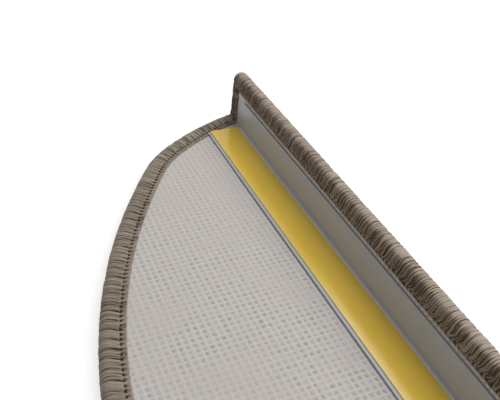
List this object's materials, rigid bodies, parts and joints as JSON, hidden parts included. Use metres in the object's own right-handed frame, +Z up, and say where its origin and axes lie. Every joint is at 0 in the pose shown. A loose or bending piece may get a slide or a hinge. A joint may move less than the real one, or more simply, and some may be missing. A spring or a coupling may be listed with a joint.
{
  "type": "stair tread mat",
  "caption": "Half-round carpet mat for one stair tread, with an overlocked yarn edge and a nosing lip held square by a plastic angle with self-adhesive tape.",
  "frame": {"origin": "middle of the footprint, on the floor under the pile", "axes": "+X along the fold, +Y from the round side to the lip, +Z up, away from the pile; the backing faces up"},
  "size_m": [0.432, 0.1308, 0.036],
  "materials": {
    "pile": "cut pile, taupe, matte",
    "backing": "latexed plain weave, pale warm grey, matte",
    "yarn": "soft spun yarn, taupe, matte",
    "thread": "spun sewing thread, taupe, matte",
    "profile": "extruded plastic, light grey, semi-gloss",
    "glue": "hot-melt glue, pale, satin",
    "tape": "foam tape, off-white, matte",
    "liner": "siliconed release paper, ochre yellow, semi-gloss"
  },
  "bodies": {
    "root": {"pile_carpet": "pile", "woven_backing": "backing", "overlock_yarn": "yarn", "needle_thread": "thread", "angle_profile": "profile", "tread_glue_strip": "glue", "lip_glue_strip": "glue", "nosing_tape": "tape", "release_liner": "liner"}
  },
  "joints": []
}
